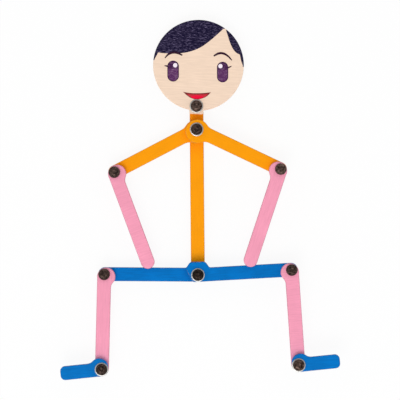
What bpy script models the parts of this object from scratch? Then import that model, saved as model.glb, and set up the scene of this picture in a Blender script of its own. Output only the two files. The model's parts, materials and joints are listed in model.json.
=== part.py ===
"""Jointed wooden figure: flat painted plywood boards that turn on press rivets.

Metres, +Z up. The figure lies on its back with its head towards +Y and its face up,
posed as if sitting with its hands on its thighs. "Left" and "right" are the viewer's.
Every board is drawn along its own +X, with its origin on the rivet that it turns on.
"""

import math

import bpy
from mathutils import Vector

# Boards
BOARD = 0.0030  # plywood thickness
LAYER_GAP = 0.0003  # air between two boards on the same rivet
LEFT_LAYER = 1  # layers from the torso to the left upper arm and thigh
RIGHT_LAYER = 2  # and to the right ones, which lie over them
BAR_WIDTH = 0.0076  # every limb and the torso
END_REACH = 0.0035  # wood past the rivet at a plain jointed end

# Distances between the rivets
TORSO_LENGTH = 0.0800  # hip to shoulder
UPPER_ARM_LENGTH = 0.0510
FOREARM_LENGTH = 0.0525  # elbow to the middle of the round hand
THIGH_LENGTH = 0.0515
SHIN_LENGTH = 0.0520
FOOT_REACH = 0.0227  # ankle to the tip of the toes
TOE_ROUNDING = 0.0026

# Knuckles: the wider round ends at elbow, knee and ankle, set towards the inside of the bend
KNUCKLE_SHIFT = 0.0011  # across the limb
KNUCKLE_SET_IN = 0.0013  # along the limb
KNUCKLE_SWELL = 0.0001  # how far the outer side stands proud of the bar
KNUCKLE_FILLET = 0.0045

# Shoulder hubs: the larger round ends of the arms, which share the shoulder rivet
SHOULDER_SHIFT = 0.0008  # across the arm, towards the hips
SHOULDER_SET_IN = 0.0008  # along the arm
SHOULDER_SWELL = 0.0019
SHOULDER_FILLET = 0.0060

# Hip hubs: the ends of the thighs, which share the hip rivet and rise to a flat top over the torso's end
HIP_RISE = 0.0071  # rivet to the flat top
HIP_TOP = 0.0042  # half of the flat top
HIP_FLARE = 0.0023  # how much wider the hub's foot is on each side
HIP_HEEL = 0.0031  # rivet to the lower corner of the thigh's end
HIP_ROUNDING = 0.0020  # at the outer corners
HIP_FILLET = 0.0015  # between the hub and the thigh

# Head: a disc with a short square chin, as wide as the neck behind it, that takes the neck rivet
HEAD_RADIUS = 0.0250
CHIN_REACH = 0.0043  # rivet to the chin's flat end
CHIN_DROP = 0.0019  # how far the chin stands below the disc
CHIN_ROUNDING = 0.0008  # at its two corners
CHIN_FILLET = 0.0008  # where it meets the disc
NECK_CLEARANCE = 0.0021  # chin to the shoulder hubs

# Rivets: a domed cap on a hollow post, closed from behind by a flat cap with a stud
POST_RADIUS = 0.0015
RUNNING_FIT = 0.0001  # radial gap round a post, and round the stud inside it
SEAT_GAP = 0.0001  # axial gap between stacked metal and wood
CAP_RADIUS = 0.0032
CAP_RIM = 0.0005  # upright edge of the domed cap
CAP_DOME = 0.0012  # rise of the dome above that edge
POST_WALL = 0.0005
STUD_LENGTH = 0.0030
BACK_CAP_RADIUS = 0.0034
BACK_CAP_THICKNESS = 0.0008
BACK_CAP_EDGE = 0.0003  # rounding of its rear edge
WIDE_WASHER = 0.00375  # radius of the washers that show round their caps
SMALL_WASHER = 0.0030  # and of those at elbows and knees, which the caps hide
WASHER_THICKNESS = 0.0005

# Pose: the direction of each board in degrees, anticlockwise from +X
TORSO_ANGLE = 90.5
HEAD_ANGLE = 87.2
LEFT_UPPER_ARM_ANGLE = 207.5
RIGHT_UPPER_ARM_ANGLE = -25.4
LEFT_FOREARM_ANGLE = -69.6
RIGHT_FOREARM_ANGLE = -108.3
LEFT_THIGH_ANGLE = 179.6
RIGHT_THIGH_ANGLE = 3.2
LEFT_SHIN_ANGLE = -91.4
RIGHT_SHIN_ANGLE = -86.0
LEFT_FOOT_ANGLE = 186.0
RIGHT_FOOT_ANGLE = 5.7

# Facets
ARC_STEP = 6.0  # degrees between the points of an outline's arcs
HEAD_STEP = 3.0
TURNED_STEPS = 16  # sides of a turned piece and of a rivet hole
DOME_STEPS = 4
SAME_POINT = 0.000001  # points closer than this are one

# Worked out from the sizes above
HALF_WIDTH = BAR_WIDTH / 2
LAYER = BOARD + LAYER_GAP
HOLE_RADIUS = (POST_RADIUS + RUNNING_FIT) / math.cos(math.pi / TURNED_STEPS)
KNUCKLE_RADIUS = HALF_WIDTH + KNUCKLE_SHIFT + KNUCKLE_SWELL
SHOULDER_RADIUS = HALF_WIDTH + SHOULDER_SHIFT + SHOULDER_SWELL
NECK_HEIGHT = TORSO_LENGTH + SHOULDER_RADIUS + NECK_CLEARANCE + CHIN_REACH
HEAD_CENTRE = HEAD_RADIUS + CHIN_DROP - CHIN_REACH
WASHER_STACK = WASHER_THICKNESS + 2 * SEAT_GAP

FIGURE = "jointed_wooden_figure"


def clear_scene():
    for obj in list(bpy.data.objects):
        bpy.data.objects.remove(obj, do_unlink=True)


def linear(byte):
    """One sRGB channel, 0 to 255, as the linear value that a shader takes."""
    c = byte / 255
    return c / 12.92 if c <= 0.04045 else ((c + 0.055) / 1.055) ** 2.4


def finish(name, colour, roughness, metallic=0.0):
    material = bpy.data.materials.new(name)
    material.use_nodes = True
    shader = material.node_tree.nodes["Principled BSDF"]
    rgba = [linear(byte) for byte in colour] + [1.0]
    shader.inputs["Base Color"].default_value = rgba
    shader.inputs["Roughness"].default_value = roughness
    shader.inputs["Metallic"].default_value = metallic
    material.diffuse_color = rgba
    return material


def arc(centre, radius, start, end, step=ARC_STEP):
    """Points from angle start to angle end, in degrees, on a circle."""
    count = max(1, math.ceil(abs(end - start) / step))
    angles = [math.radians(start + (end - start) * i / count) for i in range(count + 1)]
    return [centre + radius * Vector((math.cos(a), math.sin(a))) for a in angles]


def direction(vector):
    return math.degrees(math.atan2(vector.y, vector.x))


def without_repeats(points):
    """The closed outline without points that lie on the one before."""
    kept = []
    for i, point in enumerate(points):
        if (point - points[i - 1]).length > SAME_POINT:
            kept.append(point)
    return kept


def far_end(reach, rounding):
    """The far end of a bar, from its lower edge to its upper edge."""
    x = reach - rounding
    y = HALF_WIDTH - rounding
    lower = arc(Vector((x, -y)), rounding, -90, 0)
    upper = arc(Vector((x, y)), rounding, 0, 90)
    return lower + upper


def limb_outline(radius, set_in, shift, fillet, reach, rounding=HALF_WIDTH):
    """A bar with a round knuckle near the origin, filleted into both edges of the bar."""
    knuckle = Vector((set_in, shift))
    corner = {}
    for side in (1, -1):
        rise = side * (HALF_WIDTH + fillet) - shift
        run = math.sqrt((radius + fillet) ** 2 - rise**2)
        corner[side] = knuckle + Vector((run, rise))
    upper = direction(corner[1] - knuckle)
    lower = direction(corner[-1] - knuckle) + 360
    points = far_end(reach, rounding)
    points += arc(corner[1], fillet, 270, 180 + upper)
    points += arc(knuckle, radius, upper, lower)
    points += arc(corner[-1], fillet, lower - 180, 90)
    return without_repeats(points)


def near_end(reach, rounding):
    """The same end behind the origin, from the bar's upper edge to its lower edge."""
    return [-point for point in far_end(reach, rounding)]


def plain_bar_outline(start_reach, reach):
    """A bar with two round ends."""
    return without_repeats(far_end(reach, HALF_WIDTH) + near_end(start_reach, HALF_WIDTH))


def rounded(start, corners, end):
    """Points past a row of corners, each a place and the radius that rounds it off."""
    stops = [start] + [corner for corner, radius in corners] + [end]
    points = []
    for i, (corner, radius) in enumerate(corners, 1):
        back = (stops[i - 1] - corner).normalized()
        ahead = (stops[i + 1] - corner).normalized()
        half = back.angle(ahead) / 2
        middle = corner + (back + ahead).normalized() * radius / math.sin(half)
        first = direction(corner + back * radius / math.tan(half) - middle)
        last = direction(corner + ahead * radius / math.tan(half) - middle)
        turn = (last - first + 180) % 360 - 180
        points += arc(middle, radius, first, first + turn)
    return points


def thigh_outline():
    """A bar with a hub round the origin that rises to a flat top on its upper side."""
    foot = HIP_TOP + HIP_FLARE
    corners = [
        (Vector((foot, HALF_WIDTH)), HIP_FILLET),
        (Vector((HIP_TOP, HIP_RISE)), HIP_ROUNDING),
        (Vector((-HIP_TOP, HIP_RISE)), HIP_ROUNDING),
        (Vector((-foot, HALF_WIDTH)), HIP_ROUNDING),
        (Vector((-HIP_HEEL, -HALF_WIDTH)), HIP_ROUNDING),
    ]
    upper_edge = Vector((THIGH_LENGTH, HALF_WIDTH))
    lower_edge = Vector((THIGH_LENGTH, -HALF_WIDTH))
    points = far_end(THIGH_LENGTH + END_REACH, HALF_WIDTH)
    points += rounded(upper_edge, corners, lower_edge)
    return without_repeats(points)


def head_outline():
    """The head's disc, joined to the chin by a fillet on each side."""
    middle = Vector((HEAD_CENTRE, 0))
    rise = HALF_WIDTH + CHIN_FILLET
    run = math.sqrt((HEAD_RADIUS + CHIN_FILLET) ** 2 - rise**2)
    upper = middle + Vector((-run, rise))
    lower = middle + Vector((-run, -rise))
    disc_end = direction(upper - middle)
    points = arc(middle, HEAD_RADIUS, -disc_end, disc_end, HEAD_STEP)
    points += arc(upper, CHIN_FILLET, disc_end - 180, -90)
    points += near_end(CHIN_REACH, CHIN_ROUNDING)
    points += arc(lower, CHIN_FILLET, 90, 180 - disc_end)
    return without_repeats(points)


def hole_outline(x):
    step = 360 / TURNED_STEPS
    return arc(Vector((x, 0)), HOLE_RADIUS, 0, 360 - step, step)


def place(obj, material, collection, parent, location, angle=0.0):
    obj.data.materials.clear()
    obj.data.materials.append(material)
    collection.objects.link(obj)
    obj.parent = parent
    obj.location = location
    obj.rotation_euler.z = math.radians(angle)
    return obj


def board(name, outline, holes):
    """A flat board with its outline and rivet holes in XY, its middle plane at z = 0."""
    curve = bpy.data.curves.new(name, "CURVE")
    curve.dimensions = "2D"
    curve.fill_mode = "BOTH"
    curve.extrude = BOARD / 2
    for points in [outline] + [hole_outline(x) for x in holes]:
        spline = curve.splines.new("POLY")
        spline.points.add(len(points) - 1)
        for target, point in zip(spline.points, points):
            target.co = (point.x, point.y, 0, 1)
        spline.use_cyclic_u = True
    return bpy.data.objects.new(name, curve)


def turned(name, profile, closed=False):
    """A solid of revolution about Z. The profile runs down its outer side."""
    mesh = bpy.data.meshes.new(name)
    edges = [(i, i + 1) for i in range(len(profile) - 1)]
    if closed:
        edges.append((len(profile) - 1, 0))
    mesh.from_pydata([(r, 0, z) for r, z in profile], edges, [])
    obj = bpy.data.objects.new(name, mesh)
    screw = obj.modifiers.new("turn", "SCREW")
    screw.axis = "Z"
    screw.angle = math.tau
    screw.steps = TURNED_STEPS
    screw.render_steps = TURNED_STEPS
    screw.use_merge_vertices = True
    screw.merge_threshold = SAME_POINT
    screw.use_smooth_shade = True
    return obj


def rivet(name, grip):
    """The domed cap with its seat at z = 0 and its hollow post below, through the grip."""
    crown = []
    for i in range(DOME_STEPS + 1):
        turn = math.pi / 2 * i / DOME_STEPS
        crown.append((CAP_RADIUS * math.sin(turn), CAP_RIM + CAP_DOME * math.cos(turn)))
    bore = POST_RADIUS - POST_WALL
    bore_top = STUD_LENGTH + SEAT_GAP - grip
    profile = crown + [
        (CAP_RADIUS, 0),
        (POST_RADIUS, 0),
        (POST_RADIUS, -grip),
        (bore, -grip),
        (bore, bore_top),
        (0, bore_top),
    ]
    return turned(name, profile)


def back_cap(name):
    """The flat cap, its inner face at z = 0, with the stud that presses into the post."""
    stud = POST_RADIUS - POST_WALL - RUNNING_FIT
    profile = [
        (0, STUD_LENGTH),
        (stud, STUD_LENGTH),
        (stud, 0),
        (BACK_CAP_RADIUS, 0),
        (BACK_CAP_RADIUS, BACK_CAP_EDGE - BACK_CAP_THICKNESS),
        (BACK_CAP_RADIUS - BACK_CAP_EDGE, -BACK_CAP_THICKNESS),
        (0, -BACK_CAP_THICKNESS),
    ]
    return turned(name, profile)


def washer(name, radius):
    """A flat ring with its lower face at z = 0."""
    bore = POST_RADIUS + RUNNING_FIT
    profile = [
        (bore, WASHER_THICKNESS),
        (radius, WASHER_THICKNESS),
        (radius, 0),
        (bore, 0),
    ]
    return turned(name, profile, closed=True)


def limb(name, radius, set_in, shift, fillet, length):
    """A limb with a knuckle on its own rivet and a plain end round the next one."""
    outline = limb_outline(radius, set_in, shift, fillet, length + END_REACH)
    return board(name, outline, [0, length])


def torso():
    outline = plain_bar_outline(END_REACH, NECK_HEIGHT + END_REACH)
    return board("torso", outline, [0, TORSO_LENGTH, NECK_HEIGHT])


def upper_arm(name, side):
    shift = side * SHOULDER_SHIFT
    return limb(
        name, SHOULDER_RADIUS, SHOULDER_SET_IN, shift, SHOULDER_FILLET, UPPER_ARM_LENGTH
    )


def forearm(name, side):
    shift = side * KNUCKLE_SHIFT
    reach = FOREARM_LENGTH + HALF_WIDTH
    outline = limb_outline(KNUCKLE_RADIUS, KNUCKLE_SET_IN, shift, KNUCKLE_FILLET, reach)
    return board(name, outline, [0])


def thigh(name, side):
    """A thigh whose hub rises towards the head, on its right side or on its left."""
    outline = thigh_outline()
    if side > 0:
        outline = [Vector((point.x, -point.y)) for point in reversed(outline)]
    return board(name, outline, [0, THIGH_LENGTH])


def shin(name, side):
    shift = side * KNUCKLE_SHIFT
    return limb(name, KNUCKLE_RADIUS, KNUCKLE_SET_IN, shift, KNUCKLE_FILLET, SHIN_LENGTH)


def foot(name, side):
    shift = -side * KNUCKLE_SHIFT
    outline = limb_outline(
        KNUCKLE_RADIUS, KNUCKLE_SET_IN, shift, KNUCKLE_FILLET, FOOT_REACH, TOE_ROUNDING
    )
    return board(name, outline, [0])


def add_rivet(joint, carrier, x, boards, washer_radius, metal, collection):
    """The four metal pieces of one joint, on the rearmost board that they hold.

    boards is how many boards the rivet goes through, the carrier included."""
    front = BOARD / 2 + (boards - 1) * LAYER
    rear = -BOARD / 2
    cap_seat = front + WASHER_STACK
    rear_seat = rear - WASHER_STACK
    grip = cap_seat - rear_seat - SEAT_GAP
    pieces = [
        (rivet(joint + "_rivet", grip), cap_seat, metal["cap"]),
        (washer(joint + "_front_washer", washer_radius), front + SEAT_GAP, metal["washer"]),
        (washer(joint + "_back_washer", washer_radius), rear_seat + SEAT_GAP, metal["washer"]),
        (back_cap(joint + "_back_cap"), rear_seat, metal["cap"]),
    ]
    for obj, z, material in pieces:
        place(obj, material, collection, carrier, (x, 0, z))


def build_side(name, side, angles, layer, body, paint, metal, collection):
    """One arm and one leg. Each board hangs on the board before it, one layer in front.

    layer is how many layers the upper arm and the thigh lie in front of the torso."""
    arm_angle, forearm_angle, thigh_angle, shin_angle, foot_angle = angles

    def hang(obj, parent, x, layers, turn, colour):
        return place(obj, paint[colour], collection, parent, (x, 0, layers * LAYER), turn)

    arm = upper_arm(name + "_upper_arm", side)
    hang(arm, body, TORSO_LENGTH, layer, arm_angle - TORSO_ANGLE, "orange")
    fore = forearm(name + "_forearm", side)
    hang(fore, arm, UPPER_ARM_LENGTH, 1, forearm_angle - arm_angle, "pink")
    leg = thigh(name + "_thigh", side)
    hang(leg, body, 0, layer, thigh_angle - TORSO_ANGLE, "blue")
    lower = shin(name + "_shin", side)
    hang(lower, leg, THIGH_LENGTH, 1, shin_angle - thigh_angle, "pink")
    toes = foot(name + "_foot", side)
    hang(toes, lower, SHIN_LENGTH, 1, foot_angle - shin_angle, "blue")

    add_rivet(name + "_elbow", arm, UPPER_ARM_LENGTH, 2, SMALL_WASHER, metal, collection)
    add_rivet(name + "_knee", leg, THIGH_LENGTH, 2, SMALL_WASHER, metal, collection)
    add_rivet(name + "_ankle", lower, SHIN_LENGTH, 2, WIDE_WASHER, metal, collection)


def centre_on_origin(root, collection):
    """Moves the root so that the figure's box stands on z = 0 with its middle over the origin."""
    bpy.context.view_layer.update()
    graph = bpy.context.evaluated_depsgraph_get()
    corners = []
    for obj in collection.objects:
        if obj.type == "EMPTY":
            continue
        mesh = obj.evaluated_get(graph).to_mesh()
        corners += [obj.matrix_world @ vertex.co for vertex in mesh.vertices]
        obj.evaluated_get(graph).to_mesh_clear()
    low = Vector([min(c[i] for c in corners) for i in range(3)])
    high = Vector([max(c[i] for c in corners) for i in range(3)])
    root.location = (-(low.x + high.x) / 2, -(low.y + high.y) / 2, -low.z)
    bpy.context.view_layer.update()


def build_figure():
    clear_scene()
    collection = bpy.data.collections.new(FIGURE)
    bpy.context.scene.collection.children.link(collection)
    paint = {
        "orange": finish("orange_paint", (250, 160, 18), 0.55),
        "pink": finish("pink_paint", (247, 159, 184), 0.55),
        "blue": finish("blue_paint", (4, 112, 190), 0.5),
        "skin": finish("skin_paint", (245, 218, 193), 0.6),
    }
    metal = {
        "cap": finish("blackened_steel", (50, 42, 40), 0.4, 0.8),
        "washer": finish("nickel_plate", (205, 203, 198), 0.25, 1.0),
    }

    root = bpy.data.objects.new("figure_root", None)
    collection.objects.link(root)
    body = place(torso(), paint["orange"], collection, root, (0, 0, 0), TORSO_ANGLE)

    head = board("head", head_outline(), [0])
    place(head, paint["skin"], collection, body, (NECK_HEIGHT, 0, LAYER), HEAD_ANGLE - TORSO_ANGLE)

    left = (
        LEFT_UPPER_ARM_ANGLE,
        LEFT_FOREARM_ANGLE,
        LEFT_THIGH_ANGLE,
        LEFT_SHIN_ANGLE,
        LEFT_FOOT_ANGLE,
    )
    right = (
        RIGHT_UPPER_ARM_ANGLE,
        RIGHT_FOREARM_ANGLE,
        RIGHT_THIGH_ANGLE,
        RIGHT_SHIN_ANGLE,
        RIGHT_FOOT_ANGLE,
    )
    build_side("left", 1, left, LEFT_LAYER, body, paint, metal, collection)
    build_side("right", -1, right, RIGHT_LAYER, body, paint, metal, collection)

    add_rivet("neck", body, NECK_HEIGHT, 2, WIDE_WASHER, metal, collection)
    add_rivet("shoulder", body, TORSO_LENGTH, RIGHT_LAYER + 1, WIDE_WASHER, metal, collection)
    add_rivet("hip", body, 0, RIGHT_LAYER + 1, WIDE_WASHER, metal, collection)

    centre_on_origin(root, collection)


build_figure()
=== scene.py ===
# %% [markdown]
# # A jointed wooden figure
#
# The figure is a small plywood toy that lies flat on a table: a round head with a printed face, a torso
# and ten limb boards, held together by nine press rivets so that every limb can be turned.
# The exact solids of all 48 pieces are loaded first. Every piece below is measured from them, and rides on
# the body that moves it, so the dressed figure bends where the solids bend.

# %% Load the solids
import json
import math

import bmesh
import bpy
import numpy as np
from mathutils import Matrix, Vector


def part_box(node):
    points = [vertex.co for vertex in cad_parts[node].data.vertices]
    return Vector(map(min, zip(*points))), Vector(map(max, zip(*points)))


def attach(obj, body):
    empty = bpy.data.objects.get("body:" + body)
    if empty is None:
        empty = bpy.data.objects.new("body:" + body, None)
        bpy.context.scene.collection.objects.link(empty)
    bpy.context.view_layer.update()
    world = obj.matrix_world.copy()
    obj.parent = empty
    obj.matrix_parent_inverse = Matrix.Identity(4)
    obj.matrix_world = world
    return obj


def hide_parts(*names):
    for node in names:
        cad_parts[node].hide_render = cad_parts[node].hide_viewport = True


MM = 0.001
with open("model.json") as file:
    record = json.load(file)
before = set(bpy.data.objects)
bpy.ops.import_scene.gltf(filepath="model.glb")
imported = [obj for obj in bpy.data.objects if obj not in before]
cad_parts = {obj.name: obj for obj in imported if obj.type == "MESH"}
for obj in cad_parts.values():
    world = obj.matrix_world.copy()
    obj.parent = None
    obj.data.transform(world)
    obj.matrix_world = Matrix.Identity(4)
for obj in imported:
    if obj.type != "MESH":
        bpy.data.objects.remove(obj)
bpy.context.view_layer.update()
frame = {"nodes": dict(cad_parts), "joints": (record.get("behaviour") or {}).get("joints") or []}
HINGES = {hinge["name"]: Vector(hinge["pos_m"]) for hinge in frame["joints"]}

# %% [markdown]
# ## The view
#
# The figure was photographed from straight above while it lay flat. A camera with no turn at all looks down
# with the figure's head up the picture. A long lens from more than a metre away keeps the upper boards from
# looking larger than the lower ones, as they would from close by.

# %% Camera
PICTURE_WIDTH = 220 * MM
PICTURE_CENTRE = (0.0, -0.27 * MM)
BOARD_LEVEL = 9.6 * MM
CAMERA_DISTANCE = 1.2
lens = bpy.data.cameras.new("overhead_lens")
lens.sensor_width = 36.0
lens.lens = lens.sensor_width * CAMERA_DISTANCE / PICTURE_WIDTH
camera = bpy.data.objects.new("overhead_camera", lens)
camera.location = (*PICTURE_CENTRE, BOARD_LEVEL + CAMERA_DISTANCE)
bpy.context.scene.collection.objects.link(camera)
bpy.context.scene.camera = camera
bpy.context.scene.view_settings.view_transform = "Standard"
print("lens:", round(lens.lens, 1), "mm")

# %% [markdown]
# ## Shader nodes in one line each
#
# Every finish in this lesson is a small tree of shader nodes. This helper adds a node, sets its options, and
# fills each input with a value or links it to another node's output, so that a finish reads top to bottom.


# %% A helper for shader nodes
def node(tree, kind, inputs=None, **options):
    """Adds one shader node, sets its options, and fills or links its inputs."""
    made = tree.nodes.new("ShaderNode" + kind)
    for name, value in options.items():
        setattr(made, name, value)
    for name, value in (inputs or {}).items():
        if isinstance(value, bpy.types.NodeSocket):
            tree.links.new(value, made.inputs[name])
        else:
            made.inputs[name].default_value = value
    return made


def noise(tree, place, scale, detail, roughness=0.5):
    """Cloudy noise at a place: its scale, how many finer layers it has and how strong those are."""
    values = {"Vector": place, "Scale": scale, "Detail": detail, "Roughness": roughness}
    return node(tree, "TexNoise", values).outputs[0]


def finish_tree(name):
    """A new finish: its material, its node tree and its main shader."""
    material = bpy.data.materials.new(name)
    material.use_nodes = True
    return material, material.node_tree, material.node_tree.nodes["Principled BSDF"]


def paint_colour(red, green, blue):
    """A colour as it is read off a screen, 0 to 255, turned into the light values that shaders use."""
    channels = [channel / 255 for channel in (red, green, blue)]
    light = [c / 12.92 if c <= 0.04045 else ((c + 0.055) / 1.055) ** 2.4 for c in channels]
    return (*light, 1.0)


print("a middle grey of 128 is", round(paint_colour(128, 128, 128)[0], 3), "in light values")

# %% [markdown]
# ## Light and table
#
# The photograph has the even light of a white tent: bright walls all round, and a less bright opening at the
# top where the camera looks in. The world is that tent. Its opening keeps the satin paint from mirroring pure
# white into the camera, which would bleach the blue. One large, weak lamp beyond the feet gives the light a
# direction, so the upper boards throw soft shadows towards the head. To the camera the table mostly glows by
# itself, which keeps it as white as in the photograph, with faint shadows.

# %% Light tent
PURE_WHITE = (1.0, 1.0, 1.0, 1.0)
TENT_WALLS = 0.84
TENT_OPENING = 0.24
WALLS_END = 0.75  # upward part of a direction at which the walls begin to dim
OPENING_START = 0.94  # and at which the opening is reached
LAMP_PLACE = (-0.20, -0.82, 1.59)
LAMP_SIZE = 1.0
LAMP_POWER = 12.5
world = bpy.data.worlds.new("light_tent")
bpy.context.scene.world = world
world.use_nodes = True
tent = world.node_tree
direction = node(tent, "TexCoord").outputs["Generated"]
upward = node(tent, "SeparateXYZ", {"Vector": direction}).outputs["Z"]
fade = {"From Min": WALLS_END, "From Max": OPENING_START, "To Min": TENT_WALLS, "To Max": TENT_OPENING}
glow = node(tent, "MapRange", {"Value": upward, **fade}, interpolation_type="SMOOTHSTEP")
tent.nodes["Background"].inputs["Color"].default_value = PURE_WHITE
tent.links.new(glow.outputs["Result"], tent.nodes["Background"].inputs["Strength"])

lamp_data = bpy.data.lights.new("soft_lamp", "AREA")
lamp_data.shape = "DISK"
lamp_data.size = LAMP_SIZE
lamp_data.energy = LAMP_POWER
lamp = bpy.data.objects.new("soft_lamp", lamp_data)
lamp.location = LAMP_PLACE
lamp.rotation_euler = (-lamp.location).to_track_quat("-Z", "Y").to_euler()
bpy.context.scene.collection.objects.link(lamp)
print("tent walls", TENT_WALLS, "opening", TENT_OPENING)

# %% Table
TABLE_SIZE = 6.0
TABLE_DROP = 0.02 * MM  # keeps the table's face apart from the undersides of the rivets
TABLE_GLOW = 0.9  # share of its own white in what the camera sees
TABLE_WHITE = (0.97, 0.97, 0.97, 1.0)
bpy.ops.object.select_all(action="DESELECT")
bpy.ops.mesh.primitive_plane_add(size=TABLE_SIZE, location=(0, 0, -TABLE_DROP))
table = bpy.context.active_object
table.name = "table"
table_finish, tree, plain_shader = finish_tree("white_table")
tree.nodes.remove(plain_shader)
rays = node(tree, "LightPath")
seen = rays.outputs["Is Camera Ray"]
for kind in ("Is Glossy Ray", "Is Transmission Ray"):
    seen = node(tree, "Math", {0: seen, 1: rays.outputs[kind]}, operation="MAXIMUM").outputs[0]
share = node(tree, "Math", {0: seen, 1: TABLE_GLOW}, operation="MULTIPLY")
lit = node(tree, "BsdfDiffuse", {"Color": TABLE_WHITE})
white = node(tree, "Emission", {"Color": PURE_WHITE, "Strength": 1.0})
both = node(tree, "MixShader", {0: share.outputs[0], 1: lit.outputs[0], 2: white.outputs[0]})
tree.links.new(both.outputs[0], tree.nodes["Material Output"].inputs["Surface"])
table.data.materials.append(table_finish)
print("table:", TABLE_SIZE, "m of plain white")

# %% [markdown]
# ## Paint on wood
#
# The boards are birch plywood under a thin satin paint. Thin paint follows the fibres, so faint streaks run
# along the grain and the coat is a little cloudy. On the rounded edges the colour is darkened as painted
# shade, where the rounding turns from the light, and the coat rubs through there first.
# Each board will carry two attributes: where a point lies along and across its grain, in millimetres, and
# how deep it lies in an edge's rounding, which sets both the wear and the painted shade there. The finish
# reads those, so the streaks turn with each board.

# %% Painted wood
FIBRE_STRETCH = (0.10, 1.3, 1.3)  # noise per millimetre along, across and through the board
FIBRE_RELIEF = 0.7  # height of the fibres beside that of the specks
PAINT_RELIEF = 0.05 * MM
SHEEN_SPREAD = 0.07  # how far the roughness strays between the fibres
MOST_NOISE = {"From Min": 0.3, "From Max": 0.7}  # where most values of a noise lie
# From where the coat begins to rub through to where it has most, and the share of bare wood there
RUBBED_THROUGH = {"From Min": 0.46, "From Max": 0.78, "To Max": 0.4}


def painted_wood(name, paint, bare, streak, cloud, painted_edge_shade, roughness, gloss):
    """Satin paint on wood fibres. Streak and cloud say how far it strays; edge shade is painted shade on
    edges.
    """
    material, tree, shader = finish_tree(name)
    place = node(tree, "Attribute", attribute_name="grain_place").outputs["Vector"]
    # The edge value drives both the worn spots and the painted shade on the rounded edges.
    edge = node(tree, "Attribute", attribute_name="edge_wear_and_shade").outputs["Fac"]

    drawn = node(tree, "Mapping", {"Vector": place, "Scale": FIBRE_STRETCH}).outputs["Vector"]
    fibre = noise(tree, drawn, 1.0, 6.0, 0.65)
    drift = noise(tree, place, 0.09, 4.0)
    speck = noise(tree, place, 4.5, 2.0)
    touch = noise(tree, place, 0.55, 5.0, 0.6)

    # Painted shade: the colour darkens towards the rounded edges, as where they turn from the light.
    value = node(tree, "MapRange", {"Value": edge, "To Min": 1.0, "To Max": painted_edge_shade}).outputs[0]
    for pattern, strays in ((fibre, streak), (drift, cloud)):
        limits = {"To Min": 1 - strays, "To Max": 1 + strays}
        shade = node(tree, "MapRange", {"Value": pattern, **MOST_NOISE, **limits}).outputs[0]
        value = node(tree, "Math", {0: value, 1: shade}, operation="MULTIPLY").outputs[0]
    coat = node(tree, "HueSaturation", {"Color": paint, "Value": value}).outputs["Color"]

    rubbed = node(tree, "MapRange", {"Value": touch, **RUBBED_THROUGH}).outputs[0]
    rubbed = node(tree, "Math", {0: rubbed, 1: edge}, operation="MULTIPLY").outputs[0]
    colour = node(tree, "Mix", {0: rubbed, 6: coat, 7: bare}, data_type="RGBA").outputs[2]
    tree.links.new(colour, shader.inputs["Base Color"])

    limits = {"To Min": roughness + SHEEN_SPREAD, "To Max": roughness - SHEEN_SPREAD}
    spread = node(tree, "MapRange", {"Value": fibre, **MOST_NOISE, **limits}).outputs[0]
    tree.links.new(spread, shader.inputs["Roughness"])
    shader.inputs["Specular IOR Level"].default_value = gloss

    relief = node(tree, "Math", {0: fibre, 1: FIBRE_RELIEF, 2: speck}, operation="MULTIPLY_ADD").outputs[0]
    bump = node(tree, "Bump", {"Strength": 0.35, "Distance": PAINT_RELIEF, "Height": relief})
    tree.links.new(bump.outputs["Normal"], shader.inputs["Normal"])
    return material


BARE_BIRCH = paint_colour(236, 208, 168)
PALE_BIRCH = paint_colour(248, 228, 206)
# How dark the painted shade on the rounded edges is: deep on the coloured boards, faint on the head.
DEEP_PAINTED_EDGE_SHADE = 0.62
FAINT_PAINTED_EDGE_SHADE = 0.97
ORANGE = paint_colour(255, 160, 0)
PINK = paint_colour(246, 159, 185)
BLUE = paint_colour(0, 114, 194)
SKIN = paint_colour(246, 219, 196)
orange_paint = painted_wood("orange_paint", ORANGE, BARE_BIRCH, 0.045, 0.03, DEEP_PAINTED_EDGE_SHADE, 0.42, 0.10)
pink_paint = painted_wood("pink_paint", PINK, BARE_BIRCH, 0.075, 0.04, DEEP_PAINTED_EDGE_SHADE, 0.48, 0.16)
blue_paint = painted_wood("blue_paint", BLUE, BARE_BIRCH, 0.14, 0.10, DEEP_PAINTED_EDGE_SHADE, 0.36, 0.05)
skin_paint = painted_wood("skin_lacquer", SKIN, PALE_BIRCH, 0.07, 0.025, FAINT_PAINTED_EDGE_SHADE, 0.55, 0.16)
print("paints:", [m.name for m in (orange_paint, pink_paint, blue_paint, skin_paint)])

# %% [markdown]
# ## Hand tools
#
# Modelling by hand means selecting something and then using a tool on it. These helpers do the selecting:
# one makes a single piece active, and one opens it and picks the points, edges or faces that pass a test.


# %% Selecting
def only(piece):
    """Selects one piece alone and makes it the active one."""
    bpy.ops.object.select_all(action="DESELECT")
    piece.select_set(True)
    bpy.context.view_layer.objects.active = piece
    return piece


def edit(piece):
    """Opens one piece for editing with everything in it selected."""
    only(piece)
    bpy.ops.object.mode_set(mode="EDIT")
    bpy.ops.mesh.select_all(action="SELECT")


def pick(piece, kind, test):
    """Selects the open piece's points, edges or faces that pass a test, and says how many there are."""
    bpy.ops.mesh.select_mode(type=kind)
    bpy.ops.mesh.select_all(action="DESELECT")
    shape = bmesh.from_edit_mesh(piece.data)
    shape.normal_update()
    parts = {"VERT": shape.verts, "EDGE": shape.edges, "FACE": shape.faces}[kind]
    found = [part for part in parts if test(part)]
    for part in found:
        part.select_set(True)
    shape.select_flush_mode()
    bmesh.update_edit_mesh(piece.data)
    return len(found)


def close(piece):
    """Closes a piece after editing, with its faces pointing outwards."""
    bpy.ops.mesh.select_all(action="SELECT")
    bpy.ops.mesh.normals_make_consistent(inside=False)
    bpy.ops.object.mode_set(mode="OBJECT")
    return piece


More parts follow.
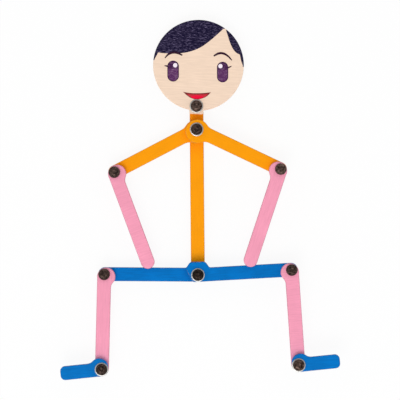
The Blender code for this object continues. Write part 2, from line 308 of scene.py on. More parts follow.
def points_of(piece):
    """All points of a mesh as rows of three numbers."""
    flat = np.empty(len(piece.data.vertices) * 3, np.float32)
    piece.data.vertices.foreach_get("co", flat)
    return flat.reshape(-1, 3).astype(float)


print("tools: only, edit, pick, close, points_of")

# %% [markdown]
# ## A board out of plywood
#
# Each board is cut from 3 mm birch plywood, so its outline is already exact in its solid. What the solid
# lacks is what a maker's hands add: sanding rounds the edges, and the glue lines of the three veneers show
# on the sides. Bevels go wrong where a flat face is crossed by hidden edges, so a copy of the solid keeps
# only its outer sides, each flat face is filled again as one clean face, and the holes are drilled at the
# very end.

# %% Blanks cut to outline
SAME_POINT = 0.001 * MM
STRAIGHT = math.radians(0.5)
BORE_ZONE = 2.4 * MM
NOT_UPRIGHT = 0.5  # upward part of a normal that is no longer a side's


def in_bore(point):
    """Says whether a point is on the wall of a rivet hole."""
    return any((point.xy - hinge.xy).length < BORE_ZONE for hinge in HINGES.values())


def blank(name):
    """A board without its holes, from the outer sides of its solid."""
    piece = bpy.data.objects.new("painted_" + name, frame["nodes"][name].data.copy())
    bpy.context.scene.collection.objects.link(piece)
    piece.data.materials.clear()
    only(piece)
    bpy.ops.mesh.customdata_custom_splitnormals_clear()
    edit(piece)
    bpy.ops.mesh.remove_doubles(threshold=SAME_POINT)
    pick(piece, "FACE", lambda face: abs(face.normal.z) > NOT_UPRIGHT or in_bore(face.calc_center_median()))
    bpy.ops.mesh.delete(type="FACE")
    bpy.ops.mesh.select_all(action="SELECT")
    bpy.ops.mesh.dissolve_limited(angle_limit=STRAIGHT)
    for height in (corner.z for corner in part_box(name)):
        pick(piece, "EDGE", lambda edge: all(abs(end.co.z - height) < SAME_POINT for end in edge.verts))
        bpy.ops.mesh.edge_face_add()
    return close(piece)


print("a point nearer than", BORE_ZONE / MM, "mm to a hinge is in its hole")

# %% Rounded edges
ARRIS = 0.45 * MM
ARRIS_STEPS = 4
RIM = 0.12 * MM
LEVEL = 0.9999  # upward part of a flat face's normal, at least
UPRIGHT = 0.05  # and of a side's normal, at most


def is_flat(face):
    """Says whether a face is the front or the back of a board."""
    return abs(face.normal.z) > LEVEL


def is_side(face):
    """Says whether a face is on the upright side of a board."""
    return abs(face.normal.z) < UPRIGHT


def is_arris(edge):
    """Says whether an edge runs between a flat face and a side."""
    return any(is_flat(face) for face in edge.link_faces) and any(is_side(face) for face in edge.link_faces)


def sand(piece):
    """Rounds the outer edges of a board, and insets a rim on its two flat faces so that they shade flat."""
    edit(piece)
    count = pick(piece, "EDGE", is_arris)
    bpy.ops.mesh.bevel(offset=ARRIS, segments=ARRIS_STEPS, profile=0.5, affect="EDGES")
    pick(piece, "FACE", is_flat)
    bpy.ops.mesh.inset(thickness=RIM)
    close(piece)
    return count


print("edges rounded by", ARRIS / MM, "mm in", ARRIS_STEPS, "steps")

# %% Glue lines
GLUE_LINE = 0.5 * MM
GLUE_WIDTH = 0.16 * MM
GLUE_DEPTH = 0.06 * MM


def score(piece, middle):
    """Scores the side of a board along the glue lines between its three veneers."""
    edit(piece)
    lines = (middle - GLUE_LINE, middle + GLUE_LINE)
    for line in lines:
        for height in (line - GLUE_WIDTH / 2, line + GLUE_WIDTH / 2):
            pick(piece, "FACE", is_side)
            bpy.ops.mesh.bisect(plane_co=(0, 0, height), plane_no=(0, 0, 1))

    def in_line(face):
        height = face.calc_center_median().z
        return is_side(face) and any(abs(height - line) < GLUE_WIDTH / 2 for line in lines)

    count = pick(piece, "FACE", in_line)
    bpy.ops.mesh.inset(thickness=GLUE_DEPTH / 3, depth=-GLUE_DEPTH)
    close(piece)
    return count


print("glue lines", GLUE_WIDTH / MM, "mm wide")

# %% Drilled holes
HOLE_RADIUS = 1.6 * MM
HOLE_SIDES = 48
BIT_LENGTH = 8 * MM


def drill(piece, name):
    """Drills the rivet holes that the board's solid has."""
    points = points_of(frame["nodes"][name])[:, :2]
    holes = {tuple(hinge.xy) for hinge in HINGES.values()}
    holes = [hole for hole in sorted(holes) if (np.linalg.norm(points - hole, axis=1) < BORE_ZONE).any()]
    middle = sum(corner.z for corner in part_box(name)) / 2
    for hole in holes:
        bpy.ops.object.select_all(action="DESELECT")
        bpy.ops.mesh.primitive_cylinder_add(
            vertices=HOLE_SIDES, radius=HOLE_RADIUS, depth=BIT_LENGTH, location=(*hole, middle)
        )
        bit = bpy.context.active_object
        only(piece)
        cut = piece.modifiers.new("drill", "BOOLEAN")
        cut.object = bit
        cut.operation = "DIFFERENCE"
        cut.solver = "EXACT"
        bpy.ops.object.modifier_apply(modifier=cut.name)
        bpy.data.objects.remove(bit)
    return len(holes)


print("holes of", 2 * HOLE_RADIUS / MM, "mm")

# %% [markdown]
# ## Where the grain runs
#
# Paint alone doesn't know how a board was cut. Two values for each point of the mesh tell it: the place
# along and across the grain, measured from the board's hinge, and the depth in the edge's rounding, which
# is greatest in the middle of the rounding and sets both the wear and the painted shade there. Most boards
# are cut along the grain. The head, one shin and one forearm were cut across it, as their fine sideways
# streaks show.

# %% Grain and wear
FAR_END = 0.8  # share of a board's reach past which a point is at its far end


def store(piece, name, kind, values):
    """Keeps one value for each point of a mesh under a name that a finish can read."""
    attribute = piece.data.attributes.new(name, kind, "POINT")
    field = "vector" if kind == "FLOAT_VECTOR" else "value"
    attribute.data.foreach_set(field, np.asarray(values, np.float32).ravel())


def square_to(along):
    """The level direction a quarter turn to the left of another."""
    return Vector((-along.y, along.x, 0))


def lay_grain(piece, start, along, shift):
    """Stores how far each point lies along and across the grain, in millimetres."""
    across = square_to(along)
    away = points_of(piece) - np.array(start)
    place = np.column_stack([away @ np.array(along), away @ np.array(across), away[:, 2]]) / MM
    store(piece, "grain_place", "FLOAT_VECTOR", place + np.array(shift))


def wear_and_shade_edges(piece, low, high):
    """Stores the edge value for wear and painted shade: none on flats and sides, most mid-rounding."""
    heights = points_of(piece)[:, 2]
    depth = np.minimum(high - heights, heights - low) / ARRIS
    store(piece, "edge_wear_and_shade", "FLOAT", np.sin(math.pi * np.clip(depth, 0, 1)))


def direction_of(name, hinge):
    """The direction in which a board reaches away from its hinge."""
    points = points_of(frame["nodes"][name]) - np.array(hinge)
    points[:, 2] = 0
    reach = np.linalg.norm(points, axis=1)
    return Vector(points[reach > FAR_END * reach.max()].mean(axis=0)).normalized()


print("head reaches towards", [round(x, 3) for x in direction_of("head", HINGES["neck"])])

# %% [markdown]
# ## The twelve boards
#
# With the tools ready, each board is one line of a list: its name, the hinge that it turns on, its paint,
# the record's slot for that paint and whether it is cut across the grain. Each gets its own stretch of wood,
# so no two boards show the same streaks.

# %% Boards
BOARDS = [
    ("torso", "left_hip", orange_paint, "orange_paint", False),
    ("left_upper_arm", "left_shoulder", orange_paint, "orange_paint", False),
    ("right_upper_arm", "right_shoulder", orange_paint, "orange_paint", False),
    ("left_forearm", "left_elbow", pink_paint, "pink_paint", True),
    ("right_forearm", "right_elbow", pink_paint, "pink_paint", False),
    ("left_thigh", "left_hip", blue_paint, "blue_paint", False),
    ("right_thigh", "right_hip", blue_paint, "blue_paint", False),
    ("left_shin", "left_knee", pink_paint, "pink_paint", False),
    ("right_shin", "right_knee", pink_paint, "pink_paint", True),
    ("left_foot", "left_ankle", blue_paint, "blue_paint", False),
    ("right_foot", "right_ankle", blue_paint, "blue_paint", False),
    ("head", "neck", skin_paint, "skin_paint", True),
]
WOOD_STEP = (83.0, 29.0, 0.0)  # millimetres from one board's stretch of wood to the next
BOARD_SMOOTH = math.radians(35)  # edges flatter than this are shaded smooth
painted = {}
for number, (name, hinge, paint, slot, cross) in enumerate(BOARDS):
    low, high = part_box(name)
    piece = blank(name)
    edges = sand(piece)
    score(piece, (low.z + high.z) / 2)
    holes = drill(piece, name)
    along = direction_of(name, HINGES[hinge])
    if cross:
        along = square_to(along)
    lay_grain(piece, HINGES[hinge], along, [number * step for step in WOOD_STEP])
    wear_and_shade_edges(piece, low.z, high.z)
    only(piece)
    bpy.ops.object.shade_smooth_by_angle(angle=BOARD_SMOOTH)
    piece.data.materials.append(paint)
    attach(piece, name)
    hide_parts(name)
    painted[name] = piece
    print(piece.name, "edges rounded:", edges, "holes:", holes, "faces:", len(piece.data.polygons))

# %% [markdown]
# ## Printing inks
#
# Hair, eyes, brows and mouth are printed on the head. The ink is thin and the pores of the wood break it
# up: short pale dashes run along the grain through the dark hair. One finish serves all the inks, with a
# main colour, the colour that shows through in the dashes, and how much of it shows.

# %% Ink
PORE_STRETCH = (0.7, 3.8, 1.0)  # noise per millimetre along, across and through the board
PORES = {"From Min": 0.52, "From Max": 0.76}  # from whole ink to an open pore
INK_SHEEN = {"To Min": 0.38, "To Max": 0.62}  # roughness from whole ink to an open pore
INK_GLOSS = 0.1
INK_RELIEF = 0.03 * MM


def printed_ink(name, ink, pore, showing):
    """Thin print on wood: short dashes of the pore colour run along the grain through the ink."""
    material, tree, shader = finish_tree(name)
    place = node(tree, "Attribute", attribute_name="grain_place").outputs["Vector"]
    drawn = node(tree, "Mapping", {"Vector": place, "Scale": PORE_STRETCH}).outputs["Vector"]
    dash = noise(tree, drawn, 1.0, 5.0, 0.65)
    through = node(tree, "MapRange", {"Value": dash, **PORES, "To Max": showing}).outputs[0]
    colour = node(tree, "Mix", {0: through, 6: ink, 7: pore}, data_type="RGBA").outputs[2]
    tree.links.new(colour, shader.inputs["Base Color"])
    spread = node(tree, "MapRange", {"Value": dash, **INK_SHEEN}).outputs[0]
    tree.links.new(spread, shader.inputs["Roughness"])
    shader.inputs["Specular IOR Level"].default_value = INK_GLOSS
    bump = node(tree, "Bump", {"Strength": 0.3, "Distance": INK_RELIEF, "Height": dash})
    tree.links.new(bump.outputs["Normal"], shader.inputs["Normal"])
    return material


hair_ink = printed_ink("hair_ink", paint_colour(13, 5, 43), paint_colour(160, 145, 190), 0.8)
line_ink = printed_ink("line_ink", paint_colour(48, 16, 40), paint_colour(110, 70, 90), 0.3)
eye_line_ink = printed_ink("eye_line_ink", paint_colour(56, 22, 62), paint_colour(110, 70, 115), 0.3)
eye_ink = printed_ink("eye_ink", paint_colour(88, 42, 92), paint_colour(206, 166, 198), 0.8)
eye_shade_ink = printed_ink("eye_shade_ink", paint_colour(66, 27, 72), paint_colour(176, 134, 174), 0.7)
glint_ink = printed_ink("glint_ink", paint_colour(252, 240, 250), paint_colour(236, 214, 226), 0.3)
lip_ink = printed_ink("lip_ink", paint_colour(128, 44, 44), paint_colour(168, 88, 80), 0.35)
mouth_ink = printed_ink("mouth_ink", paint_colour(205, 46, 60), paint_colour(224, 100, 104), 0.4)
tongue_ink = printed_ink("tongue_ink", paint_colour(246, 4, 58), paint_colour(248, 70, 100), 0.3)
print("inks:", [finish.name for finish in bpy.data.materials if finish.name.endswith("_ink")])

# %% [markdown]
# ## The head's dark rim
#
# The hair is printed right up to the edge of the disc and colours the rounding and the side there. The
# faces of the rim are picked by the angle at which they stand round the disc, and take the hair's ink as a
# second finish.

# %% Measure the disc
head_low, head_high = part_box("head")
HEAD_RADIUS = (head_high.x - head_low.x) / 2
HEAD_CENTRE = Vector(((head_low.x + head_high.x) / 2, head_high.y - HEAD_RADIUS, head_high.z))
PRINT_RADIUS = HEAD_RADIUS - ARRIS - RIM / 2
print("disc radius", round(HEAD_RADIUS / MM, 2), "mm, print reaches", round(PRINT_RADIUS / MM, 2), "mm")

# %% Dark rim
CROWN_ANGLES = (55.5, 172.6)
TUFT_ANGLES = (-0.8, 51.7)
BACKWARD = -0.9  # upward part of a normal that faces the back of the head


def on_dark_rim(face):
    """Says whether a face of the head's rim lies under the hair."""
    away = face.calc_center_median() - HEAD_CENTRE
    angle = math.degrees(math.atan2(away.y, away.x))
    hairy = any(start < angle < end for start, end in (CROWN_ANGLES, TUFT_ANGLES))
    return hairy and away.xy.length > PRINT_RADIUS - RIM / 2 and face.normal.z > BACKWARD


head = painted["head"]
head.data.materials.append(hair_ink)
edit(head)
rim_faces = pick(head, "FACE", on_dark_rim)
head.active_material_index = 1
bpy.ops.object.material_slot_assign()
bpy.ops.object.mode_set(mode="OBJECT")
print("rim faces under the hair:", rim_faces)

# %% [markdown]
# ## Printed shapes
#
# Each printed shape is a closed flat curve. A Bezier circle is added, gets as many points as the outline
# has, and each point is moved to its place, smooth or with a corner. The curve becomes a mesh, and a tiny
# extrusion gives the ink a body: it sits a little in the wood and a few hundredths of a millimetre above it.
# Places are in millimetres from the middle of the disc, and the face as a whole is then lifted a little.

# %% Print a closed outline
INK_SUNK = 0.02 * MM
INK_LAYER = 0.03 * MM
FACE_LIFT = 0.35
RIM_STEP = 9.0  # degrees between points on the disc's edge, at most
HEAD_GRAIN = square_to(direction_of("head", HINGES["neck"]))
HEAD_SHIFT = [(len(BOARDS) - 1) * step for step in WOOD_STEP]  # the head is the last board


def place_print(piece, ink, layer, lift=FACE_LIFT):
    """Gives a flat print its thickness, lays it on the head and inks it."""
    edit(piece)
    bpy.ops.mesh.remove_doubles(threshold=SAME_POINT)
    bpy.ops.mesh.dissolve_limited(angle_limit=STRAIGHT)
    thickness = INK_SUNK + layer * INK_LAYER
    bpy.ops.mesh.extrude_region_move(TRANSFORM_OT_translate={"value": (0, 0, thickness)})
    bpy.ops.mesh.select_all(action="SELECT")
    bpy.ops.transform.translate(value=(HEAD_CENTRE.x, HEAD_CENTRE.y + lift * MM, HEAD_CENTRE.z - INK_SUNK))
    close(piece)
    lay_grain(piece, HINGES["neck"], HEAD_GRAIN, HEAD_SHIFT)
    piece.data.materials.append(ink)
    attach(piece, "head")
    print(piece.name, "faces:", len(piece.data.polygons))
    return piece


def printed(name, outline, ink, layer=1, lift=FACE_LIFT):
    """Prints a closed outline of (x, y) or (x, y, "corner") points on the head."""
    bpy.ops.object.select_all(action="DESELECT")
    bpy.ops.curve.primitive_bezier_circle_add(radius=MM)
    piece = bpy.context.active_object
    piece.name = name
    piece.data.dimensions = "2D"
    piece.data.fill_mode = "BOTH"
    points = piece.data.splines[0].bezier_points
    points.add(len(outline) - len(points))
    for point, (x, y, *corner) in zip(points, outline):
        point.handle_left_type = point.handle_right_type = "FREE"
        point.co = (x * MM, y * MM, 0)
        point.handle_left = point.handle_right = point.co
    for point, (x, y, *corner) in zip(points, outline):
        point.handle_left_type = point.handle_right_type = "VECTOR" if corner else "AUTO"
    bpy.ops.object.convert(target="MESH")
    return place_print(bpy.context.active_object, ink, layer, lift)


def rim_arc(start, end):
    """Points along the edge of the print, from one angle to another, with a corner at each end."""
    count = math.ceil(abs(end - start) / RIM_STEP)
    angles = [math.radians(start + (end - start) * i / count) for i in range(count + 1)]
    radius = PRINT_RADIUS / MM
    points = [(radius * math.cos(angle), radius * math.sin(angle)) for angle in angles]
    return [(*points[0], "corner"), *points[1:-1], (*points[-1], "corner")]


print("ink layers of", INK_LAYER / MM, "mm")

# %% Hair
HAIRLINE = [
    (-22.2, 7.0, "corner"),
    (-18.7, 6.6),
    (-14.0, 6.45),
    (-9.0, 6.7),
    (-5.5, 7.3),
    (-2.2, 8.3),
    (1.1, 9.8),
    (4.4, 11.95),
    (7.7, 14.6),
    (11.0, 17.5),
]
SIDE_LOCK = [
    (16.35, 15.7),
    (17.0, 13.5),
    (17.9, 11.2),
    (19.0, 9.05),
    (20.8, 6.9),
    (22.8, 5.8, "corner"),
    (23.45, 2.7),
]
printed("hair_crown", rim_arc(*CROWN_ANGLES) + HAIRLINE, hair_ink, lift=0.0)
printed("hair_tuft", rim_arc(*TUFT_ANGLES) + SIDE_LOCK, hair_ink, lift=0.0)

# %% [markdown]
# ## Brows and lashes
#
# These are single pen strokes that swell and taper. A stroke is a line of points with a width at each, and
# its outline runs up one side and back down the other.


# %% Pen strokes
def stroke(line):
    """The outline of a pen stroke through (x, y, width) points."""
    left, right = [], []
    for i, (x, y, width) in enumerate(line):
        before, after = line[max(i - 1, 0)], line[min(i + 1, len(line) - 1)]
        along = Vector((after[0] - before[0], after[1] - before[1])).normalized()
        left.append((x - along.y * width / 2, y + along.x * width / 2))
        right.append((x + along.y * width / 2, y - along.x * width / 2))
    outline = left + right[::-1]
    ends = {0, len(line) - 1, len(line), 2 * len(line) - 1}
    return [(*point, "corner") if i in ends else point for i, point in enumerate(outline)]


LEFT_BROW = [(-18.5, 3.6, 0.5), (-16.6, 5.55, 1.0), (-13.9, 6.55, 1.1), (-11.2, 6.2, 1.05), (-8.9, 5.1, 0.7)]
RIGHT_BROW = [(8.4, 4.7, 0.8), (10.8, 6.0, 1.15), (13.2, 6.2, 1.2), (16.0, 4.85, 0.95), (18.4, 2.3, 0.55)]
LEFT_LASH = [(-16.8, -0.95, 0.9), (-17.7, -0.75, 0.75), (-18.7, -0.6, 0.4)]
RIGHT_LASH = [(16.1, -1.75, 0.9), (17.1, -1.4, 0.75), (18.2, -0.9, 0.4)]
printed("left_brow", stroke(LEFT_BROW), line_ink, layer=2)
printed("right_brow", stroke(RIGHT_BROW), line_ink, layer=2)
printed("left_lash", stroke(LEFT_LASH), line_ink)
printed("right_lash", stroke(RIGHT_LASH), line_ink)

# %% [markdown]
# ## Eyes
#
# An eye is a tall capsule with a dark line round it, a shaded upper part and a round glint. A capsule is a
# filled circle whose upper and lower halves are pulled apart. The inner capsules are the same shape, but
# smaller.

# %% Eyes
EYE_LINE = 0.45
EYE_SIDES = 64
EYE_SHADE = 1.3  # from the eye's middle up to where its shade begins
GLINT_SIZE = (2.3, 2.4)


def capsule(name, middle, width, height, ink, layer, cut=None):
    """Prints an upright capsule, or only the part of it above a height."""
    bpy.ops.object.select_all(action="DESELECT")
    bpy.ops.mesh.primitive_circle_add(vertices=EYE_SIDES, radius=width / 2 * MM, fill_type="NGON")
    piece = bpy.context.active_object
    piece.name = name
    edit(piece)
    pull = (height - width) / 2 * MM
    for side in (1, -1):
        pick(piece, "VERT", lambda point: point.co.y * side > SAME_POINT)
        bpy.ops.transform.translate(value=(0, side * pull, 0))
    bpy.ops.mesh.select_all(action="SELECT")
    bpy.ops.transform.translate(value=(middle[0] * MM, middle[1] * MM, 0))
    if cut is not None:
        bpy.ops.mesh.bisect(plane_co=(0, cut * MM, 0), plane_no=(0, 1, 0), clear_inner=True)
    bpy.ops.object.mode_set(mode="OBJECT")
    return place_print(piece, ink, layer)


EYES = {
    "left": ((-13.95, -3.6), 6.35, 11.5, (-12.8, -0.4)),
    "right": ((13.3, -4.15), 6.2, 11.3, (12.1, -0.9)),
}
for side, (middle, width, height, glint) in EYES.items():
    inner = (width - 2 * EYE_LINE, height - 2 * EYE_LINE)
    capsule(side + "_eye_line", middle, width, height, eye_line_ink, 2)
    capsule(side + "_eye", middle, *inner, eye_ink, 3)
    capsule(side + "_eye_shade", middle, *inner, eye_shade_ink, 4, cut=middle[1] + EYE_SHADE)
    capsule(side + "_eye_glint", glint, *GLINT_SIZE, glint_ink, 5)

# %% [markdown]
# ## Mouth
#
# The mouth is three prints on each other: a brown-red shape with sharp corners, a red one that leaves its
# upper edge and corners showing, and the bright tongue at the bottom.

# %% Mouth
MOUTH = [
    (-8.5, -15.1, "corner"),
    (-4.2, -15.7),
    (-0.7, -15.8),
    (2.9, -15.7),
    (6.9, -15.3, "corner"),
    (4.4, -17.6),
    (1.7, -18.8),
    (-0.9, -19.2),
    (-3.5, -18.7),
    (-5.9, -17.3),
]
INNER_MOUTH = [
    (-6.4, -16.3, "corner"),
    (-0.7, -16.5),
    (5.2, -16.3, "corner"),
    (3.9, -17.6),
    (1.5, -18.6),
    (-0.9, -18.95),
    (-3.3, -18.45),
    (-5.3, -17.2),
]
TONGUE = [
    (-4.0, -17.9),
    (-2.6, -17.2),
    (-0.9, -16.95),
    (0.9, -17.2),
    (2.4, -17.9),
    (0.9, -18.7),
    (-0.9, -18.95),
    (-2.6, -18.7),
]
printed("mouth_lip", MOUTH, lip_ink, layer=1)
printed("mouth_inside", INNER_MOUTH, mouth_ink, layer=2)
printed("mouth_tongue", TONGUE, tongue_ink, layer=3)

# %% [markdown]
# ## Metals
#
# The rivets are pressed steel with a brown-black oxide finish, blotchy and a little dented, and no two are
# quite equally dark. The washers under them are nickel plate, dulled by fine marks.

# %% Metal finishes
OXIDE_DARK = (0.012, 0.006, 0.005, 1.0)
OXIDE_BRIGHT = (0.125, 0.080, 0.065, 1.0)
OXIDE_SHEEN = {"To Min": 0.52, "To Max": 0.30}  # roughness from dark blotches to bright ones
DENT_DEPTH = 0.35 * MM
GRIT_DEPTH = 0.03 * MM
NICKEL_DULL = (0.34, 0.33, 0.31, 1.0)
NICKEL_CLEAN = (0.62, 0.61, 0.59, 1.0)
NICKEL_SHEEN = {"To Min": 0.54, "To Max": 0.38}  # roughness from dull marks to clean plate
MARK_DEPTH = 0.02 * MM


def oxide_steel(name):
    """Brown-black oxide on steel: mottled, dented, and darker on some rivets than on others."""
    material, tree, shader = finish_tree(name)
    place = node(tree, "TexCoord").outputs["Object"]
    mottle = noise(tree, place, 720.0, 5.0, 0.65)
    grit = noise(tree, place, 5200.0, 2.0)
    tone = node(tree, "Attribute", attribute_name="oxide_tone").outputs["Fac"]
    share = node(tree, "MapRange", {"Value": mottle, "From Min": 0.38, "From Max": 0.64}).outputs[0]
    blotches = node(tree, "Mix", {0: share, 6: OXIDE_DARK, 7: OXIDE_BRIGHT}, data_type="RGBA").outputs[2]
    colour = node(tree, "HueSaturation", {"Color": blotches, "Value": tone}).outputs["Color"]
    tree.links.new(colour, shader.inputs["Base Color"])
    spread = node(tree, "MapRange", {"Value": mottle, **OXIDE_SHEEN}).outputs[0]
    tree.links.new(spread, shader.inputs["Roughness"])
    shader.inputs["Metallic"].default_value = 0.85
    dents = node(tree, "Bump", {"Strength": 0.5, "Distance": DENT_DEPTH, "Height": mottle}).outputs["Normal"]
    bump = node(tree, "Bump", {"Strength": 0.3, "Distance": GRIT_DEPTH, "Height": grit, "Normal": dents})
    tree.links.new(bump.outputs["Normal"], shader.inputs["Normal"])
    return material


def nickel_plate(name):
    """Nickel dulled by fine marks."""
    material, tree, shader = finish_tree(name)
    place = node(tree, "TexCoord").outputs["Object"]
    mark = noise(tree, place, 2600.0, 4.0)
    share = node(tree, "MapRange", {"Value": mark, "From Min": 0.35, "From Max": 0.6}).outputs[0]
    colour = node(tree, "Mix", {0: share, 6: NICKEL_DULL, 7: NICKEL_CLEAN}, data_type="RGBA").outputs[2]
    tree.links.new(colour, shader.inputs["Base Color"])
    spread = node(tree, "MapRange", {"Value": mark, **NICKEL_SHEEN}).outputs[0]
    tree.links.new(spread, shader.inputs["Roughness"])
    shader.inputs["Metallic"].default_value = 1.0
    bump = node(tree, "Bump", {"Strength": 0.2, "Distance": MARK_DEPTH, "Height": mark})
    tree.links.new(bump.outputs["Normal"], shader.inputs["Normal"])
    return material


oxide = oxide_steel("blackened_steel")
nickel = nickel_plate("nickel_plate")
print("metals:", oxide.name, nickel.name)

# %% [markdown]
# ## Turning round pieces
#
# Rivets and washers are round, so they are turned as on a lathe. A circle is added at the axis, and its edge
# is extruded, scaled and lifted once for each ring of the profile. The last ring is filled, or, for a washer
# with its hole, merged with the first.

# %% A lathe
TURNED_SIDES = 72
TURNED_SMOOTH = math.radians(40)  # edges flatter than this are shaded smooth


def turned(name, rings, pierced=False):
    """Turns a piece about the upright axis from (radius, height) rings in millimetres."""
    radius, height = rings[0]
    bpy.ops.object.select_all(action="DESELECT")
    bpy.ops.mesh.primitive_circle_add(
        vertices=TURNED_SIDES,
        radius=radius * MM,
        fill_type="NOTHING" if pierced else "NGON",
        location=(0, 0, height * MM),
    )
    piece = bpy.context.active_object
    piece.name = name
    bpy.ops.object.transform_apply(location=True, rotation=True, scale=True)
    edit(piece)
    bpy.ops.mesh.select_mode(type="EDGE")
    for (r0, h0), (r1, h1) in zip(rings, rings[1:]):
        bpy.ops.mesh.extrude_edges_move()
        bpy.ops.transform.resize(value=(r1 / r0, r1 / r0, 1), center_override=(0, 0, 0))
        bpy.ops.transform.translate(value=(0, 0, (h1 - h0) * MM))
    if not pierced:
        bpy.ops.mesh.edge_face_add()
    bpy.ops.mesh.select_all(action="SELECT")
    bpy.ops.mesh.remove_doubles(threshold=SAME_POINT)
    close(piece)
    bpy.ops.object.shade_smooth_by_angle(angle=TURNED_SMOOTH)
    return piece


def set_down(model, name, hinge, height, finish, body, replaced):
    """Puts a copy of a turned piece on a rivet's axis, with its own mesh."""
    piece = bpy.data.objects.new(name, model.data.copy())
    bpy.context.scene.collection.objects.link(piece)
    only(piece)
    piece.location = (hinge.x, hinge.y, height)
    bpy.ops.object.transform_apply(location=True, rotation=True, scale=True)
    piece.data.materials.append(finish)
    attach(piece, body)
    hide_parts(replaced)
    return piece


print("turned pieces have", TURNED_SIDES, "sides")

# %% [markdown]
# ## The rivet's parts
#
# A press rivet is two parts that snap into each other through the boards: a domed cap on a hollow post, and a
# flat button with a stud. The cap has a rolled rim, a shallow ring and a dimple where the press held it.
# Outer sizes are measured on the solids of the neck's rivet, and of one elbow's washer, which is smaller.
# A profile is a list of rings in millimetres: a radius, and a height above the seat of the cap or above the
# rear face of the button or washer.


# %% Profiles of the rivet's parts
def height_of(name):
    """How tall a solid is, in millimetres."""
    low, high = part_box(name)
    return (high.z - low.z) / MM


def radius_of(name):
    """The radius of a round solid, in millimetres."""
    low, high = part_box(name)
    return (high.x - low.x) / 2 / MM


CAP_R = radius_of("neck_rivet")
CAP_H = 1.7
POST_R = 1.5
POST_EDGE = 0.15
BORE_R = 1.0
BORE_DEPTH = 3.1
BORE_TIP = (0.4, 3.3)  # radius and depth of the bore's blunt end
CAP_DOME = [
    (0.28, 1.42),
    (0.42, 1.45),
    (0.56, 1.54),
    (0.72, 1.63),
    (0.95, 1.68),
    (1.25, 1.69),
    (1.60, 1.64),
    (1.95, 1.54),
    (2.12, 1.43),
    (2.22, 1.34),
    (2.32, 1.29),
    (2.43, 1.29),
    (2.53, 1.32),
    (CAP_R - 0.54, 1.30),
    (CAP_R - 0.38, 1.20),
    (CAP_R - 0.22, 1.02),
    (CAP_R - 0.10, 0.80),
    (CAP_R - 0.02, 0.55),
    (CAP_R, 0.32),
    (CAP_R - 0.04, 0.12),
    (CAP_R - 0.18, 0.0),
]


def rivet_rings(post_length):
    """The profile of a cap and its hollow post, from the dimple down to the post's bore."""
    end = -post_length
    post = [(POST_R, 0.0), (POST_R, end + POST_EDGE), (POST_R - POST_EDGE, end)]
    bore = [(BORE_R, end), (BORE_R, end + BORE_DEPTH), (BORE_TIP[0], end + BORE_TIP[1])]
    return CAP_DOME + post + bore


STUD_TOP = height_of("neck_back_cap")
STUD_R = 0.92
STUD_EDGE = 0.2
BUTTON_R = radius_of("neck_back_cap")
BUTTON_T = 0.80
BUTTON = [
    (0.30, 0.14),
    (0.45, 0.12),
    (0.62, 0.03),
    (0.80, 0.0),
    (2.25, 0.0),
    (2.38, 0.07),
    (2.55, 0.07),
    (2.68, 0.0),
    (BUTTON_R - 0.38, 0.0),
    (BUTTON_R - 0.18, 0.05),
    (BUTTON_R - 0.05, 0.17),
    (BUTTON_R, 0.34),
    (BUTTON_R, 0.56),
    (BUTTON_R - 0.07, 0.70),
    (BUTTON_R - 0.22, 0.79),
    (BUTTON_R - 0.40, BUTTON_T),
    (STUD_R, BUTTON_T),
    (STUD_R, STUD_TOP - STUD_EDGE),
    (0.70, STUD_TOP),
]

WIDE_R = radius_of("neck_front_washer")
SMALL_R = radius_of("left_elbow_front_washer")
WASHER_T = height_of("neck_front_washer")
WASHER_BORE = 1.62
WASHER_EDGE = 0.16
WASHER_CORNER = 0.05  # what the rounding takes off at its middle


def washer_rings(radius):
    """The profile of a washer with soft edges, from its bore round to its bore again."""
    return [
        (WASHER_BORE, 0.0),
        (radius - WASHER_EDGE, 0.0),
        (radius - WASHER_CORNER, WASHER_CORNER),
        (radius, WASHER_EDGE),
        (radius, WASHER_T - WASHER_EDGE),
        (radius - WASHER_CORNER, WASHER_T - WASHER_CORNER),
        (radius - WASHER_EDGE, WASHER_T),
        (WASHER_BORE, WASHER_T),
        (WASHER_BORE, 0.0),
    ]


print("radii in mm: cap", round(CAP_R, 2), "button", round(BUTTON_R, 2))
print("washers in mm: wide", round(WIDE_R, 2), "small", round(SMALL_R, 2))

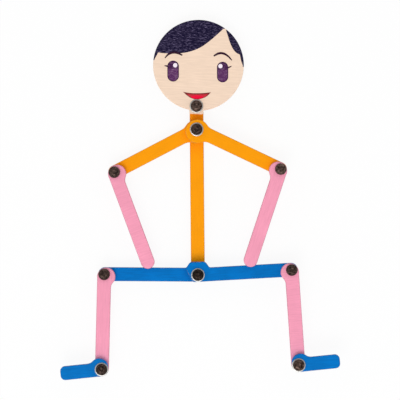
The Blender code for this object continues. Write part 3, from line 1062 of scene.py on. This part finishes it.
# %% [markdown]
# ## Nine rivets
#
# Each part is turned once as a model, and every rivet gets copies of it, set down on its hinge. The rivets
# at shoulder and hip grip three boards and need the longer post. Most washers show as a ring round their
# cap, but those at elbows and knees are small enough to hide under it. A line of the list gives a rivet's
# hinge, the board that carries it and its tone: 1 for plain oxide, less where it is darker and more where it
# is paler.

# %% Rivets
RIVETS = {
    "neck": ("neck", "torso", 1.05),
    "shoulder": ("left_shoulder", "torso", 0.7),
    "hip": ("left_hip", "torso", 0.35),
    "left_elbow": ("left_elbow", "left_upper_arm", 0.95),
    "right_elbow": ("right_elbow", "right_upper_arm", 1.3),
    "left_knee": ("left_knee", "left_thigh", 0.75),
    "right_knee": ("right_knee", "right_thigh", 0.75),
    "left_ankle": ("left_ankle", "left_shin", 0.6),
    "right_ankle": ("right_ankle", "right_shin", 1.05),
}
wide_washer = turned("wide_washer_model", washer_rings(WIDE_R), pierced=True)
small_washer = turned("small_washer_model", washer_rings(SMALL_R), pierced=True)
button = turned("button_model", BUTTON)
short_rivet = turned("short_rivet_model", rivet_rings(height_of("neck_rivet") - CAP_H))
long_rivet = turned("long_rivet_model", rivet_rings(height_of("shoulder_rivet") - CAP_H))

for name, (hinge, body, tone) in RIVETS.items():
    axis = HINGES[hinge]
    rivet = long_rivet if name in ("shoulder", "hip") else short_rivet
    washer = small_washer if name.endswith(("elbow", "knee")) else wide_washer
    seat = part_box(name + "_rivet")[1].z - CAP_H * MM
    cap = set_down(rivet, name + "_cap", axis, seat, oxide, body, name + "_rivet")
    for side in ("front", "back"):
        solid = name + "_" + side + "_washer"
        ring = name + "_" + side + "_ring"
        set_down(washer, ring, axis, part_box(solid)[0].z, nickel, body, solid)
    solid = name + "_back_cap"
    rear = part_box(solid)[0].z
    back_cap = set_down(button, name + "_button", axis, rear, oxide, body, solid)
    for piece in (cap, back_cap):
        store(piece, "oxide_tone", "FLOAT", [tone] * len(piece.data.vertices))
for model in (wide_washer, small_washer, button, short_rivet, long_rivet):
    bpy.data.objects.remove(model)
print("rivets:", len(RIVETS), "of four pieces each")
